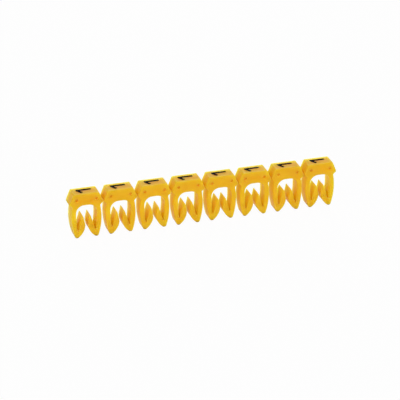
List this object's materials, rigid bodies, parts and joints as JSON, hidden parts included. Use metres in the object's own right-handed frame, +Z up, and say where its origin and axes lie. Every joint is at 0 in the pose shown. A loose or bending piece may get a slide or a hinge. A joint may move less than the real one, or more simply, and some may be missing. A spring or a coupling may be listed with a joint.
{
  "type": "cable marker",
  "caption": "Moulded break-off strip of clip-on cable markers with flat legend faces, bowed legs and inner barbs that close round a wire.",
  "frame": {"origin": "centre of the strip's box, on the plane that the tips of the legs stand on", "axes": "+X along the strip, +Y along the wire towards the pips on the back faces, +Z up to the legend faces"},
  "size_m": [0.04, 0.0024, 0.0068],
  "materials": {
    "moulded_yellow": "yellow-orange moulded polyamide, satin from the mould",
    "legend_ink": "black marking ink, matt"
  },
  "bodies": {
    "root": {"marker_strip": "moulded_yellow"}
  },
  "joints": []
}
